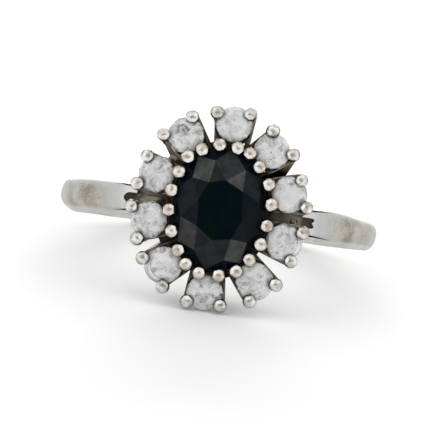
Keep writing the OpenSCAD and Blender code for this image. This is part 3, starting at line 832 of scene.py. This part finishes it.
def diamond_look():
    """Cloudy diamond: a stone filled with pale haze, with small dark flecks. Painted reflection is laid
    into its colour: the lower facets seen through the upper ones, painted as a mosaic of greys and as
    streaks that run out from the middle, noise over the angle round the stone, with a painted highlight in
    the middle and painted shade at the edge. The attribute cut holds each stone's own coordinates, radius
    1, feather the place and depth of a dark flaw in it, a curl on one side of a mottled cloud, rim how much
    of the painted reflection of the bright seat shows in its outer facets, flecks how dark its specks are,
    and facet a painted tone for the light each facet returns."""
    material, tree, shader, place = blank_material("cloudy diamond with painted facets")
    level = (1.0, 1.0, 0.0)
    cut = written(tree, "cut", "Vector")
    flat = vectors(tree, "MULTIPLY", cut, level)
    far = vectors(tree, "LENGTH", flat)
    heading = vectors(tree, "NORMALIZE", flat)
    streak_place = vectors(tree, "ADD", vectors(tree, "ADD", heading, scaled(tree, cut, 0.3)), place)
    # Painted reflection: streaks and a mosaic of greys for the facets seen through the stone.
    streaks = cloud(tree, streak_place, 3.4, 3.0)
    cells = node(tree, "TexVoronoi", {"Vector": place, "Scale": 3000.0})
    grey = node(tree, "SeparateColor", {"Color": cells.outputs["Color"]}).outputs[0]
    haze = cloud(tree, place, 2600.0, 6.0)
    pattern = maths(tree, "MULTIPLY_ADD", streaks, 0.6, times(tree, haze, 0.5))
    pattern = maths(tree, "MULTIPLY_ADD", grey, 0.28, pattern)
    # A painted reflection tone for each facet.
    tone = maths(tree, "MULTIPLY_ADD", written(tree, "facet"), 0.2, pattern)
    tone = maths(tree, "SUBTRACT", tone, 0.06)
    # Painted highlight in the middle and painted shade at the edge.
    tone = maths(tree, "ADD", tone, band(tree, far, 0.0, 0.6, 0.1, 0.0))
    tone = maths(tree, "SUBTRACT", tone, band(tree, far, 0.88, 1.0, 0.0, 0.22))

    # Painted reflection of the bright seat, a ring in the outer facets on the outward side.
    outwards = band(tree, node(tree, "SeparateXYZ", {"Vector": heading}).outputs["X"], 0.1, 0.5)
    rim = times(tree, written(tree, "rim"), outwards)
    off_line = maths(tree, "ABSOLUTE", maths(tree, "SUBTRACT", far, seat_line))
    line = band(tree, off_line, 0.0, 0.06, 0.26, 0.0)
    painted_seat_ring = maths(tree, "SUBTRACT", band(tree, far, seat_line, 0.8, 0.0, 0.1), line)
    tone = maths(tree, "MULTIPLY_ADD", rim, painted_seat_ring, tone)
    colour = ramp(tree, tone, *haze_and_facet_grey, *haze_and_facet_white)

    spot = written(tree, "feather", "Vector")
    depth = node(tree, "SeparateXYZ", {"Vector": spot}).outputs["Z"]
    middle = vectors(tree, "MULTIPLY", spot, level)
    ragged = maths(tree, "MULTIPLY_ADD", streaks, 0.5, vectors(tree, "DISTANCE", flat, middle))
    off_curl = maths(tree, "ABSOLUTE", maths(tree, "SUBTRACT", ragged, curl_line))
    one_side = vectors(tree, "DOT_PRODUCT", vectors(tree, "SUBTRACT", flat, middle), curl_side)
    curl = times(tree, band(tree, off_curl, 0.01, 0.12, 1.0, 0.0), band(tree, one_side, -0.05, 0.12))
    mottled = times(tree, band(tree, ragged, 0.42, 0.72, 1.0, 0.0), band(tree, haze, 0.4, 0.62, 1.0, 0.25))
    feather = times(tree, depth, maths(tree, "MAXIMUM", curl, mottled))
    specks = times(tree, band(tree, cloud(tree, place, 5200.0, 2.0), 0.64, 0.70), written(tree, "flecks"))
    flecked = mixed(tree, feather, mixed(tree, specks, colour, speck_grey), flaw_grey)
    rough = band(tree, haze, 0.3, 0.7, 0.04, 0.14)
    plug(tree, shader, {"Base Color": flecked, "Roughness": rough, "IOR": 2.4, "Specular IOR Level": 0.3,
                        "Transmission Weight": 0.25})
    return material


cloudy = diamond_look()
jitter = np.random.default_rng(11)
for i in range(len(COLLETS)):
    angles = np.radians(np.arange(8) * 45 + jitter.uniform(0, 45) + jitter.normal(0, 1.5, 8))
    corners = np.full(8, 0.57) + jitter.normal(0, 0.012, 8)
    points, faces = brilliant(angles, corners, table_z=0.30, star_z=0.175, girdle_z=0.03, point_z=0.84,
                              lower_z=0.66)
    stone = f"diamond_{i + 1:02d}"
    made = piece(stone + "_stone", [(in_head(points * diamond_r, i), faces)], cloudy, 0, stone)
    write(made, "cut", "FLOAT_VECTOR", "POINT", points.ravel())
    write(made, "facet", "FLOAT", "FACE", jitter.uniform(0, 1, len(faces)))
    write(made, "rim", "FLOAT", "POINT", np.full(len(points), SEAT_REFLECTIONS[i]))
    write(made, "flecks", "FLOAT", "POINT", np.full(len(points), FLECKS[i]))
    write(made, "feather", "FLOAT_VECTOR", "POINT", np.tile(FEATHERS[i], len(points)))

# THE PICTURE
# A plain pale floor under the ring, soft light all round that is dimmer from the camera's side, two
# faint lamps, and the camera at the photograph's angle.
PICTURE_PX, PX_PER_MM, DISTANCE_MM, SENSOR_MM = 432, 15.6, 650.0, 36.0
HEAD_PX = (219.25, 209.7)
LOOKS_UNDER_HEAD_DEG, ROLL_DEG = 0.85, 7.9
DIM_WITHIN_DEG, LIGHT_OUTSIDE_DEG, DIM_LIGHT = 8, 48, 0.42
FLOOR_HALF_M, FLOOR_GREY, FLOOR_GLOW, LAMP_FAR_M = 3, 0.93, 0.02, 0.5
camera_data = bpy.data.cameras.new("camera")
camera = bpy.data.objects.new("camera", camera_data)
bpy.context.scene.collection.objects.link(camera)
bpy.context.scene.camera = camera
head_middle = np.array([[0.0, 0.0, sapphire_z]])
pitch = math.atan2(along_finger[1], along_finger[2]) - math.radians(LOOKS_UNDER_HEAD_DEG)
forward = np.array([0.0, math.cos(pitch), -math.sin(pitch)])
level_up = np.array([0.0, math.sin(pitch), math.cos(pitch)])
roll = math.radians(ROLL_DEG)
right = across_finger * math.cos(roll) + level_up * math.sin(roll)
up = level_up * math.cos(roll) - across_finger * math.sin(roll)
aside = (HEAD_PX[0] - PICTURE_PX / 2) / PX_PER_MM * MM
above = (PICTURE_PX / 2 - HEAD_PX[1]) / PX_PER_MM * MM
eye = lying(head_middle)[0] - right * aside - up * above - forward * DISTANCE_MM * MM
camera.matrix_world = Matrix([[right[k], up[k], -forward[k], eye[k]] for k in range(3)] + [[0, 0, 0, 1]])
camera_data.sensor_width = SENSOR_MM
camera_data.lens = SENSOR_MM * DISTANCE_MM * PX_PER_MM / PICTURE_PX
camera_data.clip_start, camera_data.clip_end = 0.05, 20.0

world = bpy.data.worlds.new("studio")
bpy.context.scene.world = world
world.use_nodes = True
sky = world.node_tree
direction = node(sky, "TexCoord").outputs["Generated"]
towards_eye = vectors(sky, "DOT_PRODUCT", direction, tuple(-forward))
dim_from, dim_to = math.cos(math.radians(LIGHT_OUTSIDE_DEG)), math.cos(math.radians(DIM_WITHIN_DEG))
open_side = band(sky, towards_eye, dim_from, dim_to, 1.0, DIM_LIGHT)
light = mixed(sky, open_side, (0, 0, 0, 1), (1.0, 1.0, 1.005, 1))
plug(sky, sky.nodes["Background"], {"Color": light})

corners = [(-1, -1), (1, -1), (1, 1), (-1, 1)]
floor_mesh = bpy.data.meshes.new("floor")
floor_mesh.from_pydata([(FLOOR_HALF_M * x, FLOOR_HALF_M * y, 0) for x, y in corners], [], [(0, 1, 2, 3)])
floor = bpy.data.objects.new("floor", floor_mesh)
bpy.context.scene.collection.objects.link(floor)
pale, pale_tree, pale_shader, _ = blank_material("pale floor")
plug(pale_tree, pale_shader, {"Base Color": (FLOOR_GREY, FLOOR_GREY, FLOOR_GREY, 1), "Roughness": 1.0,
                              "Specular IOR Level": 0.0, "Emission Color": (1, 1, 1, 1),
                              "Emission Strength": FLOOR_GLOW})
floor_mesh.materials.append(pale)


def softbox(name, toward, size, strength):
    """A square lamp panel half a metre from the ring, in the given direction from it."""
    data = bpy.data.lights.new(name, "AREA")
    data.shape, data.size, data.energy = "SQUARE", size, strength
    lamp = bpy.data.objects.new(name, data)
    bpy.context.scene.collection.objects.link(lamp)
    spot = Matrix.Translation([LAMP_FAR_M * v / math.hypot(*toward) for v in toward])
    lamp.matrix_world = spot @ spot.to_translation().to_track_quat("Z", "Y").to_matrix().to_4x4()
    lamp.visible_camera = False


softbox("lamp_behind", (0.0, 1.0, 0.2), size=0.3, strength=2.5)
softbox("lamp_left", (-0.8, -0.35, 0.7), size=0.5, strength=0.1)

bpy.context.scene.view_settings.view_transform = "Standard"
